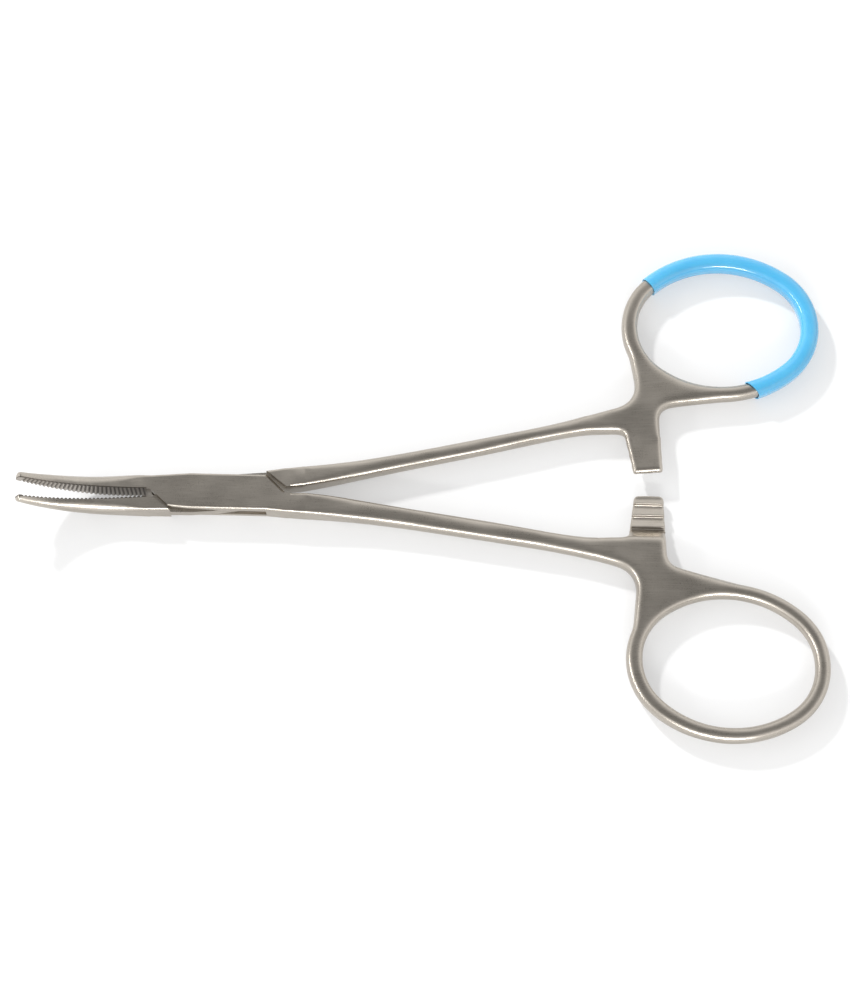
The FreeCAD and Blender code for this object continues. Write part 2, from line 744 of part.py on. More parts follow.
def coating(side):
    """Dipped skin round the outer part of one ring, up to a slanted dip line."""
    outside = ring_tube("dipped", side, "coat_outside", "coat_thick + coat_seat")
    inside = ring_tube("dipped", side, "coat_inside", "coat_seat")
    skin = doc.addObject("Part::Cut", "coat_skin")
    skin.Base = outside
    skin.Tool = inside
    dipped = doc.addObject("Part::Box", "dipped_side")
    for path in ("Length", "Width", "Height"):
        bind(dipped, path, "3 * hole_long")
    dipped.Placement = Placement(Vector(0, 0, 0), Rotation(Vector(0, 0, 1), -number("dip_angle")))
    corner_x = "-dip_depth * sin(dip_angle) - 1.5 * hole_long * cos(dip_angle)"
    corner_y = "-dip_depth * cos(dip_angle) + 1.5 * hole_long * sin(dip_angle)"
    bind(dipped, "Placement.Rotation.Angle", "-dip_angle")
    bind(dipped, "Placement.Base.x", f"{ring_x('dipped')} + {corner_x}")
    bind(dipped, "Placement.Base.y", f"{ring_y('dipped')} + {corner_y}")
    bind(dipped, "Placement.Base.z", f"{MID} - 1.5 * hole_long")
    coat = doc.addObject("Part::Common", "ring_coating")
    coat.Base = skin
    coat.Tool = dipped
    coat.Label = "ring_coating"
    coat.Placement = Placement(Vector(0, 0, 0), Rotation(Vector(0, 0, 1), side * number("half_opening")))
    bind(coat, "Placement.Rotation.Angle", f"{side} * half_opening")
    return coat


box_half = half("plain", "box_half", lock_of_box(-1), -1, 1)
tongue_half = half("dipped", "tongue_half", lock_of_tongue(1), 1, -1)
nodes = [box_half, tongue_half, pin(), coating(1)]
doc.recompute()

for item in doc.Objects:
    if "Invalid" in item.State or "Error" in item.State:
        raise RuntimeError(f"{item.Label} failed: {item.State}")
for node in nodes:
    if node.Shape.isNull() or not node.Shape.isValid():
        raise RuntimeError(f"{node.Label} has no valid shape")
os.makedirs("parts", exist_ok=True)
for node in nodes:
    node.Shape.exportStep(f"parts/{node.Label}.step")
    print(node.Label, "volume", round(node.Shape.Volume, 2))
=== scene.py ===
"""Curved artery forceps on a white ground: finishes, polished handles, dip coating, light, camera.

Lengths in the classes are millimetres and angles are degrees unless a comment says otherwise. mm()
and point() turn lengths and places to metres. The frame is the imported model's own: the lock pin's
axis is Z, the jaws point to -X and curve up, and the coated ring is on +Y.
"""

import logging
import math
from dataclasses import dataclass, field
from enum import Enum
from typing import Any, Callable

import bpy
from mathutils import Matrix, Vector


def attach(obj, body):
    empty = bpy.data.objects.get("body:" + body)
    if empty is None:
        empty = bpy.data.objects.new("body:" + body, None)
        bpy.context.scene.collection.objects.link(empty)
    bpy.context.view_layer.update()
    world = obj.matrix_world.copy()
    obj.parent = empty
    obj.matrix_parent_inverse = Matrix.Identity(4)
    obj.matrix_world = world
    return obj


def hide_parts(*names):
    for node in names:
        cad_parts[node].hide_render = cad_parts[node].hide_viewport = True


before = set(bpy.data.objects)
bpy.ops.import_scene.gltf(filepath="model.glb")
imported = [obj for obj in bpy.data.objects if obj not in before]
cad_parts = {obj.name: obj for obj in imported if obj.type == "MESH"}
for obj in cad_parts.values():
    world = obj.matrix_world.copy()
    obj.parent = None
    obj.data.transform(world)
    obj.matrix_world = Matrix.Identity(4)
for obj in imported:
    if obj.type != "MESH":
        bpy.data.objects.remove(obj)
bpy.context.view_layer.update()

log = logging.getLogger("forceps")

# Each half is turned by this much from the middle line, in degrees, as the forceps lie open
HALF_OPENING = 2.55
# Points of a mesh that are nearer than this are one point, in millimetres
SAME_POINT = 0.0005


def mm(value: float) -> float:
    """Length in metres of a length in millimetres."""
    return value / 1000.0


def point(place: tuple[float, float, float]) -> Vector:
    """Place in metres of a place in millimetres."""
    return Vector(place) / 1000.0


def linear(code: str) -> tuple[float, float, float, float]:
    """Linear colour of an sRGB hex code.

    Args:
        code: Six hex digits after a hash sign.

    Returns:
        Red, green, blue and an alpha of one.
    """
    channels = [int(code[place:place + 2], 16) / 255 for place in (1, 3, 5)]
    bent = [c / 12.92 if c <= 0.04045 else ((c + 0.055) / 1.055) ** 2.4 for c in channels]
    return (bent[0], bent[1], bent[2], 1.0)


def add_node(
    tree: bpy.types.NodeTree,
    kind: str,
    settings: dict[str, Any] | None = None,
    inputs: dict[Any, Any] | None = None,
) -> bpy.types.Node:
    """Add a node with its settings, values and links.

    Args:
        tree: Node tree that takes the node.
        kind: Node type, such as ShaderNodeMix.
        settings: Properties of the node by name.
        inputs: Values by input name or index. A socket is linked, anything else is set.

    Returns:
        The new node.
    """
    made = tree.nodes.new(kind)
    for name, value in (settings or {}).items():
        setattr(made, name, value)
    for name, value in (inputs or {}).items():
        if isinstance(value, bpy.types.NodeSocket):
            tree.links.new(value, made.inputs[name])
        else:
            made.inputs[name].default_value = value
    return made


def new_material(name: str) -> tuple[bpy.types.Material, bpy.types.NodeTree]:
    """Material with an empty tree.

    Args:
        name: Name of the material.

    Returns:
        The material and its tree.
    """
    material = bpy.data.materials.new(name)
    material.use_nodes = True
    material.node_tree.nodes.clear()
    return material, material.node_tree


def select_only(obj: bpy.types.Object) -> None:
    """Deselect everything, then select one object and make it active.

    Args:
        obj: The object to select.
    """
    bpy.ops.object.select_all(action="DESELECT")
    obj.select_set(True)
    bpy.context.view_layer.objects.active = obj


def apply_modifier(obj: bpy.types.Object, kind: str, settings: dict[str, Any]) -> None:
    """Add a modifier with its settings and apply it.

    Args:
        obj: Piece that takes the modifier.
        kind: Modifier type, such as BEVEL.
        settings: Properties of the modifier by name.
    """
    select_only(obj)
    modifier = obj.modifiers.new(kind.lower(), kind)
    for name, value in settings.items():
        setattr(modifier, name, value)
    bpy.ops.object.modifier_apply(modifier=modifier.name)


class Body(Enum):
    """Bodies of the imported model."""

    BOX = "box_body"
    TONGUE = "tongue_body"


class Side(Enum):
    """Sides of the middle line that a handle is on, by the sign of Y."""

    COATED_RING = 1
    BARE_RING = -1


@dataclass(frozen=True)
class SatinStainless:
    """Martensitic stainless forging steel, glass beaded and then satin brushed along its length.

    The eye sees a warm grey metal with a fine even grain, faint lengthwise brush lines and slow
    clouds from hand finishing. The roots of the jaw grooves are painted darker, and their crests
    less so: painted shade in the grooves.
    """

    name: str
    # Turns the piece's own middle line to X, so that the brush lines run along it
    turn: float = 0.0
    colour: str = "#CAC3B9"
    shade: str = "#9B948A"
    # Painted shade for the roots of the jaw grooves
    groove_painted_shade: str = "#4A423B"
    # Levels of the texture between which the tone and the roughness go from one end to the other
    tone_spread: tuple[float, float] = (0.22, 0.72)
    roughness_spread: tuple[float, float] = (0.3, 0.7)
    roughness: float = 0.3
    roughness_swing: float = 0.06
    # Beading leaves dimples of about 0.05 mm, drawn twice as coarse so that they show
    grain: float = 0.11
    grain_detail: float = 3.0
    grain_roughness: float = 0.6
    # Grit of about 0.03 mm, drawn three times as coarse so that its lines show
    brush_spacing: float = 0.09
    brush_length: float = 3.5
    brush_detail: float = 2.0
    brush_share: float = 0.45
    cloud: float = 6.0
    cloud_detail: float = 4.0
    cloud_roughness: float = 0.55
    cloud_share: float = 0.3
    relief_height: float = 0.006
    relief_strength: float = 0.3
    # Hand grinding leaves the flats in slow swells, which tilt them by a degree or two
    swell: float = 8.0
    swell_detail: float = 0.5
    swell_height: float = 0.7
    # Grooved faces, which are painted darker as painted shade: their end at the lock, and how far
    # from the middle line the crests, the roots and the solid metal behind them lie
    grip_start: float = -11.2
    grip_fade: float = 0.2
    grip_crest: float = 0.07
    grip_root: float = 0.24
    grip_end: float = 0.3
    # Share of the painted shade at the crests, where the roots get all of it
    crest_painted_shade: float = 0.35

    def texture(
        self, tree: bpy.types.NodeTree, place: bpy.types.NodeSocket, along: bpy.types.NodeSocket
    ) -> tuple[bpy.types.NodeSocket, bpy.types.NodeSocket]:
        """Grain and brush lines, alone and with the clouds.

        Args:
            tree: Node tree of the material.
            place: Object coordinates.
            along: The same, turned to the piece's middle line.

        Returns:
            The fine texture, and the fine texture mixed with the clouds.
        """
        grain = add_node(
            tree, "ShaderNodeTexNoise",
            inputs={
                "Vector": place, "Scale": 1 / mm(self.grain),
                "Detail": self.grain_detail, "Roughness": self.grain_roughness,
            },
        ).outputs["Fac"]
        cloud = add_node(
            tree, "ShaderNodeTexNoise",
            inputs={
                "Vector": place, "Scale": 1 / mm(self.cloud),
                "Detail": self.cloud_detail, "Roughness": self.cloud_roughness,
            },
        ).outputs["Fac"]
        across = 1 / mm(self.brush_spacing)
        lines = add_node(
            tree, "ShaderNodeMapping",
            inputs={"Vector": along, "Scale": (1 / mm(self.brush_length), across, across)},
        ).outputs["Vector"]
        brush = add_node(
            tree, "ShaderNodeTexNoise", inputs={"Vector": lines, "Scale": 1.0, "Detail": self.brush_detail}
        ).outputs["Fac"]
        fine = add_node(
            tree, "ShaderNodeMix", {"data_type": "FLOAT"}, {"Factor": self.brush_share, 2: grain, 3: brush}
        ).outputs[0]
        clouded = add_node(
            tree, "ShaderNodeMix", {"data_type": "FLOAT"}, {"Factor": self.cloud_share, 2: fine, 3: cloud}
        ).outputs[0]
        return fine, clouded

    def painted_shade_share(self, tree: bpy.types.NodeTree, along: bpy.types.NodeSocket) -> bpy.types.NodeSocket:
        """Share of the painted shade in the grooves of the jaw, set by place.

        Args:
            tree: Node tree of the material.
            along: Object coordinates turned to the piece's middle line.

        Returns:
            One at the roots, less at the crests and nothing elsewhere.
        """
        spot = add_node(tree, "ShaderNodeSeparateXYZ", inputs={0: along})
        aside = add_node(
            tree, "ShaderNodeMath", {"operation": "ABSOLUTE"}, {0: spot.outputs["Y"]}
        ).outputs[0]
        gripping = add_node(
            tree, "ShaderNodeMapRange",
            inputs={
                "Value": spot.outputs["X"],
                "From Min": mm(self.grip_start + self.grip_fade), "From Max": mm(self.grip_start),
            },
        ).outputs["Result"]
        deep = add_node(
            tree, "ShaderNodeMapRange",
            inputs={
                "Value": aside, "From Min": mm(self.grip_crest), "From Max": mm(self.grip_root),
                "To Min": self.crest_painted_shade, "To Max": 1.0,
            },
        ).outputs["Result"]
        shallow = add_node(
            tree, "ShaderNodeMapRange",
            inputs={
                "Value": aside, "From Min": mm(self.grip_root), "From Max": mm(self.grip_end),
                "To Min": 1.0, "To Max": 0.0,
            },
        ).outputs["Result"]
        share = gripping
        for factor in (deep, shallow):
            share = add_node(
                tree, "ShaderNodeMath", {"operation": "MULTIPLY"}, {0: share, 1: factor}
            ).outputs[0]
        return share

    def relief(
        self, tree: bpy.types.NodeTree, place: bpy.types.NodeSocket, fine: bpy.types.NodeSocket
    ) -> bpy.types.NodeSocket:
        """Normal of the metal with its swells, grain and brush lines.

        Args:
            tree: Node tree of the material.
            place: Object coordinates.
            fine: The fine texture.

        Returns:
            The normal.
        """
        swell = add_node(
            tree, "ShaderNodeTexNoise",
            inputs={"Vector": place, "Scale": 1 / mm(self.swell), "Detail": self.swell_detail},
        ).outputs["Fac"]
        ground = add_node(
            tree, "ShaderNodeBump",
            inputs={"Strength": 1.0, "Distance": mm(self.swell_height), "Height": swell},
        ).outputs["Normal"]
        return add_node(
            tree, "ShaderNodeBump",
            inputs={
                "Strength": self.relief_strength, "Distance": mm(self.relief_height),
                "Height": fine, "Normal": ground,
            },
        ).outputs["Normal"]

    def build(self) -> bpy.types.Material:
        """Make the material.

        Returns:
            The finished material.
        """
        material, tree = new_material(self.name)
        place = add_node(tree, "ShaderNodeTexCoord").outputs["Object"]
        along = add_node(
            tree, "ShaderNodeMapping",
            inputs={"Vector": place, "Rotation": (0, 0, math.radians(self.turn))},
        ).outputs["Vector"]
        fine, clouded = self.texture(tree, place, along)
        tone = add_node(
            tree, "ShaderNodeMapRange",
            inputs={"Value": clouded, "From Min": self.tone_spread[0], "From Max": self.tone_spread[1]},
        ).outputs["Result"]
        satin = add_node(
            tree, "ShaderNodeMix", {"data_type": "RGBA"},
            {"Factor": tone, 6: linear(self.shade), 7: linear(self.colour)},
        ).outputs[2]
        # Painted shade: the jaw grooves are darkened by place, most at their roots
        colour = add_node(
            tree, "ShaderNodeMix", {"data_type": "RGBA"},
            {"Factor": self.painted_shade_share(tree, along), 6: satin, 7: linear(self.groove_painted_shade)},
        ).outputs[2]
        roughness = add_node(
            tree, "ShaderNodeMapRange",
            inputs={
                "Value": clouded,
                "From Min": self.roughness_spread[0], "From Max": self.roughness_spread[1],
                "To Min": self.roughness - self.roughness_swing,
                "To Max": self.roughness + self.roughness_swing,
            },
        ).outputs["Result"]
        shader = add_node(
            tree, "ShaderNodeBsdfPrincipled",
            inputs={
                "Base Color": colour, "Metallic": 1.0, "Roughness": roughness,
                "Normal": self.relief(tree, place, fine),
            },
        )
        add_node(tree, "ShaderNodeOutputMaterial", inputs={"Surface": shader.outputs[0]})
        return material


@dataclass(frozen=True)
class DippedVinyl:
    """Plastisol vinyl that the warm ring was dipped in and that cured glossy.

    The eye sees an even light blue under a clear wavy gloss, slightly deeper where it is thick.
    """

    name: str = "dipped vinyl"
    colour: str = "#54AED8"
    deep: str = "#40A0D0"
    ior: float = 1.52
    roughness: tuple[float, float] = (0.02, 0.1)
    roughness_spread: tuple[float, float] = (0.3, 0.7)
    # Slow waves of the cured skin, a few millimetres long and a few hundredths high
    wave: float = 3.2
    wave_detail: float = 2.0
    wave_roughness: float = 0.4
    wave_height: float = 0.05
    wave_strength: float = 0.6
    # Fine orange peel
    speck: float = 0.25
    speck_detail: float = 2.0
    speck_roughness: float = 0.5
    speck_height: float = 0.01
    speck_strength: float = 0.12
    # How far red, green and blue light spreads in the vinyl, and its share
    spread: tuple[float, float, float] = (0.3, 0.5, 0.9)
    spread_share: float = 0.12
    gloss: float = 1.0
    gloss_roughness: float = 0.03

    def build(self) -> bpy.types.Material:
        """Make the material.

        Returns:
            The finished material.
        """
        material, tree = new_material(self.name)
        place = add_node(tree, "ShaderNodeTexCoord").outputs["Object"]
        wave = add_node(
            tree, "ShaderNodeTexNoise",
            inputs={
                "Vector": place, "Scale": 1 / mm(self.wave),
                "Detail": self.wave_detail, "Roughness": self.wave_roughness,
            },
        ).outputs["Fac"]
        speck = add_node(
            tree, "ShaderNodeTexNoise",
            inputs={
                "Vector": place, "Scale": 1 / mm(self.speck),
                "Detail": self.speck_detail, "Roughness": self.speck_roughness,
            },
        ).outputs["Fac"]
        colour = add_node(
            tree, "ShaderNodeMix", {"data_type": "RGBA"},
            {"Factor": wave, 6: linear(self.deep), 7: linear(self.colour)},
        ).outputs[2]
        roughness = add_node(
            tree, "ShaderNodeMapRange",
            inputs={
                "Value": speck,
                "From Min": self.roughness_spread[0], "From Max": self.roughness_spread[1],
                "To Min": self.roughness[0], "To Max": self.roughness[1],
            },
        ).outputs["Result"]
        waves = add_node(
            tree, "ShaderNodeBump",
            inputs={"Strength": self.wave_strength, "Distance": mm(self.wave_height), "Height": wave},
        ).outputs["Normal"]
        relief = add_node(
            tree, "ShaderNodeBump",
            inputs={
                "Strength": self.speck_strength, "Distance": mm(self.speck_height),
                "Height": speck, "Normal": waves,
            },
        ).outputs["Normal"]
        shader = add_node(
            tree, "ShaderNodeBsdfPrincipled",
            inputs={
                "Base Color": colour, "Roughness": roughness, "IOR": self.ior, "Normal": relief,
                "Subsurface Weight": self.spread_share, "Subsurface Radius": point(self.spread),
                "Subsurface Scale": 1.0,
                "Coat Weight": self.gloss, "Coat Roughness": self.gloss_roughness,
            },
        )
        add_node(tree, "ShaderNodeOutputMaterial", inputs={"Surface": shader.outputs[0]})
        return material


@dataclass
class LockPin:
    """Rivet of the box lock, which keeps the solid's form and gets its finish."""

    finish: SatinStainless
    node: str = "pivot_pin"

    def build(self) -> bpy.types.Object:
        """Give the pin its finish.

        Returns:
            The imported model's own pin.
        """
        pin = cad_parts[self.node]
        pin.data.materials.clear()
        pin.data.materials.append(self.finish.build())
        return pin


@dataclass
class ForgedHalf:
    """One forging of the pair: the solid's own form, with its handle rounded off as on a belt.

    The lock and the jaw keep the solid's crisp edges, and the ratchet arm has its edges broken. The
    shank, the web and the ring are softened all over, more than the solid's own fillets.
    """

    node: str
    slot: str
    body: Body
    side: Side
    finish: SatinStainless
    # Where the handle starts, and how far along the softening takes to come in
    handle_start: float = 13.6
    blend: float = 8.0
    # How near the middle line the handle ends at the arm, how the softening comes in there, and
    # how far from the lock the arm is looked for
    arm_side: float = 4.6
    arm_blend: float = 2.0
    arm_start: float = 60.0
    # The ring is drawn over the belt longer than the shank, from here on
    ring_start: float = 68.0
    ring_blend: float = 7.0
    # Mesh size, passes of smoothing and how much of it each pass does
    grain: float = 0.17
    passes: int = 120
    ring_passes: int = 160
    pass_strength: float = 0.5
    # Smoothing thins a band by about this much a side, which is given back
    give_back: float = 0.03
    # The arm and its teeth are only broken at their edges, on a finer mesh
    arm_grain: float = 0.1
    arm_passes: int = 30
    arm_fade: float = 1.0
    # Each part is meshed this much too long, and cut to its length once it is smooth
    spare: float = 1.5
    crease: float = 30.0

    def axes(self) -> tuple[Vector, Vector]:
        """Directions of the half.

        Returns:
            Along its own middle line, and out to the side that its handle is on.
        """
        turn = math.radians(self.side.value * HALF_OPENING)
        along = Vector((math.cos(turn), math.sin(turn), 0))
        return along, Vector((-math.sin(turn), math.cos(turn), 0)) * self.side.value

    def copy(self, part: str) -> bpy.types.Object:
        """Closed copy of the solid.

        Args:
            part: Name of the copy.

        Returns:
            The copy, with its doubles merged.
        """
        made = bpy.data.objects.new(f"{self.node}_{part}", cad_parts[self.node].data.copy())
        bpy.context.scene.collection.objects.link(made)
        select_only(made)
        bpy.ops.mesh.customdata_custom_splitnormals_clear()
        bpy.ops.object.mode_set(mode="EDIT")
        bpy.ops.mesh.select_all(action="SELECT")
        bpy.ops.mesh.remove_doubles(threshold=mm(SAME_POINT))
        bpy.ops.object.mode_set(mode="OBJECT")
        return made

    def cut(
        self,
        piece: bpy.types.Object,
        direction: Vector,
        level: float,
        chosen: Callable[[Vector], bool] = lambda centre: True,
    ) -> None:
        """Cut a piece by a plane and close it, keeping what lies beyond the plane.

        Args:
            piece: The piece to cut.
            direction: The plane's normal, which points into what is kept.
            level: How far along the direction the plane lies.
            chosen: True for the centre of each face that the cut applies to.
        """
        select_only(piece)
        bpy.ops.object.mode_set(mode="EDIT")
        bpy.ops.mesh.select_all(action="DESELECT")
        bpy.ops.object.mode_set(mode="OBJECT")
        for face in piece.data.polygons:
            face.select = chosen(face.center)
        bpy.ops.object.mode_set(mode="EDIT")
        bpy.ops.mesh.bisect(
            plane_co=direction * mm(level), plane_no=direction, clear_inner=True, use_fill=True,
            threshold=mm(SAME_POINT),
        )
        bpy.ops.object.mode_set(mode="OBJECT")

    def softness(self, spot: Vector) -> float:
        """Share of the softening that a place gets.

        Args:
            spot: The place in the model's frame.

        Returns:
            Zero at the lock and the arm, one on the rest of the handle.
        """
        along, out = self.axes()
        start = (spot.dot(along) - mm(self.handle_start)) / mm(self.blend)
        aside = (spot.dot(out) - mm(self.arm_side)) / mm(self.arm_blend)
        if spot.dot(along) < mm(self.arm_start):
            aside = 1.0
        return max(0.0, min(1.0, start, aside))

    def roundness(self, spot: Vector) -> float:
        """Share of the ring's extra rounding that a place gets."""
        return max(0.0, min(1.0, (spot.dot(self.axes()[0]) - mm(self.ring_start)) / mm(self.ring_blend)))

    def edge_wear(self, spot: Vector) -> float:
        """Share of the arm's edge breaking that a place gets, none where the arm leaves the web."""
        return max(0.0, min(1.0, (mm(self.arm_side) - spot.dot(self.axes()[1])) / mm(self.arm_fade)))

    def mark(self, piece: bpy.types.Object, name: str, share: Callable[[Vector], float]) -> None:
        """Give a piece a vertex group whose weights go by place.

        Args:
            piece: The piece.
            name: Name of the group.
            share: Weight of a place.
        """
        group = piece.vertex_groups.new(name=name)
        for corner in piece.data.vertices:
            group.add([corner.index], share(corner.co), "REPLACE")

    def smooth(self, piece: bpy.types.Object, group: str, passes: int) -> None:
        """Smooth a piece where a vertex group marks it.

        Args:
            piece: The piece.
            group: Name of the group.
            passes: How often it is smoothed.
        """
        apply_modifier(
            piece, "SMOOTH", {"factor": self.pass_strength, "iterations": passes, "vertex_group": group}
        )

    def handle(self) -> bpy.types.Object:
        """Shank, web and ring, evenly meshed and softened.

        Returns:
            The handle, cut where the lock and the arm begin.
        """
        along, out = self.axes()
        handle = self.copy("handle")
        self.cut(handle, along, self.handle_start - self.spare)
        apply_modifier(handle, "REMESH", {"mode": "VOXEL", "voxel_size": mm(self.grain)})
        self.mark(handle, "handle", self.softness)
        self.mark(handle, "ring", self.roundness)
        self.smooth(handle, "handle", self.passes)
        self.smooth(handle, "ring", self.ring_passes)
        apply_modifier(
            handle, "DISPLACE", {"strength": mm(self.give_back), "mid_level": 0.0, "vertex_group": "handle"}
        )
        self.cut(handle, along, self.handle_start)
        near, reach = mm(self.arm_start), mm(self.arm_side + self.spare)
        self.cut(
            handle, out, self.arm_side,
            lambda centre: centre.dot(along) > near and centre.dot(out) < reach,
        )
        return handle

    def arm(self) -> bpy.types.Object:
        """Ratchet arm with its teeth, broken at the edges.

        Returns:
            The arm, cut where the handle begins.
        """
        along, out = self.axes()
        arm = self.copy("arm")
        self.cut(arm, -out, -self.arm_side - self.spare)
        self.cut(arm, along, self.arm_start - self.spare)
        apply_modifier(arm, "REMESH", {"mode": "VOXEL", "voxel_size": mm(self.arm_grain)})
        self.mark(arm, "arm", self.edge_wear)
        self.smooth(arm, "arm", self.arm_passes)
        self.cut(arm, -out, -self.arm_side)
        self.cut(arm, along, self.arm_start)
        return arm

    def build(self) -> bpy.types.Object:
        """Model the forging from its lock and jaw, its arm and its handle.

        Returns:
            The finished piece.
        """
        front = self.copy("front")
        self.cut(front, -self.axes()[0], -self.handle_start)
        arm, handle = self.arm(), self.handle()
        bpy.ops.object.select_all(action="DESELECT")
        for part in (front, arm, handle):
            part.select_set(True)
        bpy.context.view_layer.objects.active = handle
        bpy.ops.object.join()
        piece = bpy.context.object
        piece.name = f"{self.node}_forging"
        piece.vertex_groups.clear()
        bpy.ops.object.shade_smooth_by_angle(angle=math.radians(self.crease))
        piece.data.materials.clear()
        piece.data.materials.append(self.finish.build())
        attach(piece, self.body.value)
        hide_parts(self.node)
        return piece


@dataclass
class DipCoating:
    """Vinyl skin round the outer part of one finger ring, with rounded lips at the dip line."""

    # The ring inside it: its hole, its band and the radius of the arcs at its ends
    hole_long: float = 26.2
    hole_short: float = 20.3
    band: float = 2.5
    end_radius: float = 9.85
    ring_thick: float = 2.9
    ring_corner: float = 1.05
    clearance: float = 0.01
    skin: float = 0.195
    # Place of the ring with the forceps closed
    centre: tuple[float, float, float] = (80.65, 22.95, 1.8)
    ring_tilt: float = -2.5
    # Direction that the ring was dipped in, from Y towards X, and the dip line's distance from the
    # ring's middle
    dip_angle: float = 52.4
    dip_depth: float = 3.5
    lip: float = 0.085
    lip_steps: int = 4
    lip_angle: float = 50.0
    end_steps: int = 44
    flank_steps: int = 36
    corner_steps: int = 7
    # The spun arcs meet within this much
    seam: float = 0.005
    crease: float = 40.0
    finish: DippedVinyl = field(default_factory=DippedVinyl)

    def arcs(self) -> tuple[float, float, float]:
        """Where the four arcs of the oval turn.

        Returns:
            Distance of the end arcs' centres from the middle, that of the flank arcs' centres, and
            half the angle of an end arc.
        """
        long, short = (self.hole_long + self.band) / 2, (self.hole_short + self.band) / 2
        end_offset = long - self.end_radius
        flank = (short**2 + end_offset**2 - self.end_radius**2) / (2 * (short - self.end_radius))
        return end_offset, flank - short, math.atan2(flank - short, end_offset)

    def section(self) -> bpy.types.Object:
        """Rounded loop of the skin's outside, standing where an end arc starts.

        Returns:
            The loop, in edit mode with all of it selected.
        """
        grow = self.clearance + self.skin
        end_offset, _, half_turn = self.arcs()
        across = end_offset + self.end_radius * math.cos(half_turn)
        bpy.ops.object.select_all(action="DESELECT")
        bpy.ops.mesh.primitive_plane_add(size=1)
        loop = bpy.context.object
        loop.name = "ring_dip_coating"
        loop.scale = (mm(self.band + 2 * grow), mm(self.ring_thick + 2 * grow), 1)
        bpy.ops.object.transform_apply(location=False, rotation=False, scale=True)
        loop.rotation_euler = (math.pi / 2, 0, -half_turn)
        loop.location = (mm(across), mm(-self.end_radius * math.sin(half_turn)), 0)
        bpy.ops.object.transform_apply(location=True, rotation=True, scale=False)
        bpy.ops.object.mode_set(mode="EDIT")
        bpy.ops.mesh.select_all(action="SELECT")
        bpy.ops.mesh.bevel(
            affect="VERTICES", offset_type="OFFSET", offset=mm(self.ring_corner + grow),
            segments=self.corner_steps,
        )
        bpy.ops.mesh.select_all(action="SELECT")
        bpy.ops.mesh.delete(type="ONLY_FACE")
        bpy.ops.mesh.select_all(action="SELECT")
        return loop

    def tube(self) -> bpy.types.Object:
        """Closed tube round the whole ring, about the origin.

        Returns:
            The tube, in object mode.
        """
        loop = self.section()
        end_offset, flank_offset, half_turn = self.arcs()
        end_turn, flank_turn = 2 * half_turn, math.pi - 2 * half_turn
        turns = (
            (end_offset, 0.0, end_turn, self.end_steps),
            (0.0, -flank_offset, flank_turn, self.flank_steps),
            (-end_offset, 0.0, end_turn, self.end_steps),
            (0.0, flank_offset, flank_turn, self.flank_steps),
        )
        for across, along, angle, steps in turns:
            # About -Z, which spins counter-clockwise
            bpy.ops.mesh.spin(steps=steps, angle=angle, center=(mm(across), mm(along), 0), axis=(0, 0, -1))
        bpy.ops.mesh.select_all(action="SELECT")
        bpy.ops.mesh.remove_doubles(threshold=mm(self.seam))
        bpy.ops.mesh.normals_make_consistent(inside=False)
        bpy.ops.object.mode_set(mode="OBJECT")
        return loop

    def build(self) -> bpy.types.Object:
        """Model the coating in its place on the ring.

        Returns:
            The finished piece.
        """
        piece = self.tube()
        select_only(piece)
        piece.rotation_euler = (0, 0, math.radians(self.ring_tilt))
        piece.location = point(self.centre)
        bpy.ops.object.transform_apply(location=True, rotation=True, scale=False)
        angle = math.radians(self.dip_angle)
        outward = Vector((math.sin(angle), math.cos(angle), 0))
        bpy.ops.object.mode_set(mode="EDIT")
        bpy.ops.mesh.select_all(action="SELECT")
        bpy.ops.mesh.bisect(
            plane_co=point(self.centre) - outward * mm(self.dip_depth), plane_no=outward,
            clear_inner=True, use_fill=False, threshold=mm(SAME_POINT),
        )
        bpy.ops.object.mode_set(mode="OBJECT")
        apply_modifier(
            piece, "SOLIDIFY", {"thickness": mm(self.skin), "offset": -1.0, "use_even_offset": True}
        )
        apply_modifier(
            piece, "BEVEL",
            {
                "width": mm(self.lip), "segments": self.lip_steps,
                "limit_method": "ANGLE", "angle_limit": math.radians(self.lip_angle),
            },
        )
        piece.rotation_euler = (0, 0, math.radians(HALF_OPENING))
        select_only(piece)
        bpy.ops.object.transform_apply(location=False, rotation=True, scale=False)
        bpy.ops.object.shade_smooth_by_angle(angle=math.radians(self.crease))
        piece.data.materials.clear()
        piece.data.materials.append(self.finish.build())
        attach(piece, Body.TONGUE.value)
        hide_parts("ring_coating")
        return piece


@dataclass(frozen=True)
class WhiteGround:
    """Matt white paint on the ground, which the eye sees as pure white with the object's shadow."""

    name: str = "matt white ground"
    colour: str = "#D6D6D6"
    # What a camera or mirror ray meets: a greyer paint with this much glow, white together
    seen_colour: str = "#BCBCBC"
    seen_glow: float = 0.38

    def build(self) -> bpy.types.Material:
        """Make the material.

        Returns:
            The finished material.
        """
        material, tree = new_material(self.name)
        path = add_node(tree, "ShaderNodeLightPath")
        seen = path.outputs["Is Camera Ray"]
        for kind in ("Is Glossy Ray", "Is Transmission Ray"):
            seen = add_node(
                tree, "ShaderNodeMath", {"operation": "MAXIMUM"}, {0: seen, 1: path.outputs[kind]}
            ).outputs[0]
        strength = add_node(
            tree, "ShaderNodeMath", {"operation": "MULTIPLY"}, {0: seen, 1: self.seen_glow}
        ).outputs[0]
        paint = add_node(
            tree, "ShaderNodeMix", {"data_type": "RGBA"},
            {"Factor": seen, 6: linear(self.colour), 7: linear(self.seen_colour)},
        ).outputs[2]
        matt = add_node(tree, "ShaderNodeBsdfDiffuse", inputs={"Color": paint})
        glow = add_node(tree, "ShaderNodeEmission", inputs={"Color": linear("#FFFFFF"), "Strength": strength})
        both = add_node(tree, "ShaderNodeAddShader", inputs={0: matt.outputs[0], 1: glow.outputs[0]})
        add_node(tree, "ShaderNodeOutputMaterial", inputs={"Surface": both.outputs[0]})
        return material


